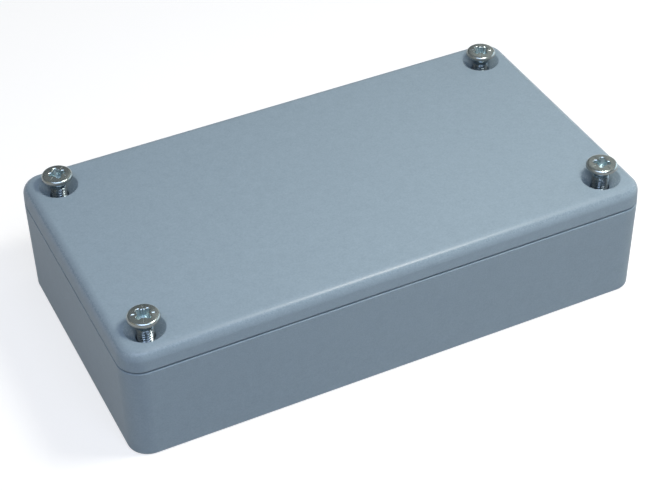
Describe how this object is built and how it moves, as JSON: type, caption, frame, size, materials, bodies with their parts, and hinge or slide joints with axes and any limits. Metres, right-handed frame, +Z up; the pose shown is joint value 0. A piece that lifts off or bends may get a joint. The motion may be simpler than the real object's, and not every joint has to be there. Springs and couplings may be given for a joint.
{
  "type": "plastic enclosure",
  "caption": "Rectangular moulded plastic case with a flat lid held by machine screws at its corners, for housing a small circuit board.",
  "frame": {"origin": "middle of the underside, on the surface that the case stands on", "axes": "+X along the case, +Y from its front long side to its back, +Z up through the lid"},
  "size_m": [0.1, 0.055, 0.0266],
  "materials": {
    "case_plastic": "fine-grained blue-grey moulding",
    "zinc_plated_steel": "zinc plating, slightly dulled",
    "insert_brass": "plain turned brass"
  },
  "bodies": {
    "base": {"base": "case_plastic", "insert_front_left": "insert_brass", "insert_front_right": "insert_brass", "insert_back_left": "insert_brass", "insert_back_right": "insert_brass"},
    "lid": {"lid": "case_plastic"},
    "screw_front_left": {"screw_front_left": "zinc_plated_steel"},
    "screw_front_right": {"screw_front_right": "zinc_plated_steel"},
    "screw_back_left": {"screw_back_left": "zinc_plated_steel"},
    "screw_back_right": {"screw_back_right": "zinc_plated_steel"}
  },
  "joints": [
    {"name": "lid_lift", "type": "slide", "parent": "base", "child": "lid", "axis": [0, 0, 1], "range_m": [0, 0.045]},
    {"name": "screw_front_left_travel", "type": "slide", "parent": "lid", "child": "screw_front_left", "axis": [0, 0, 1], "range_m": [-0.0029, 0.0035]},
    {"name": "screw_front_right_travel", "type": "slide", "parent": "lid", "child": "screw_front_right", "axis": [0, 0, 1], "range_m": [-0.0032, 0.0032]},
    {"name": "screw_back_left_travel", "type": "slide", "parent": "lid", "child": "screw_back_left", "axis": [0, 0, 1], "range_m": [-0.0026, 0.0038]},
    {"name": "screw_back_right_travel", "type": "slide", "parent": "lid", "child": "screw_back_right", "axis": [0, 0, 1], "range_m": [-0.0022, 0.0042]}
  ]
}
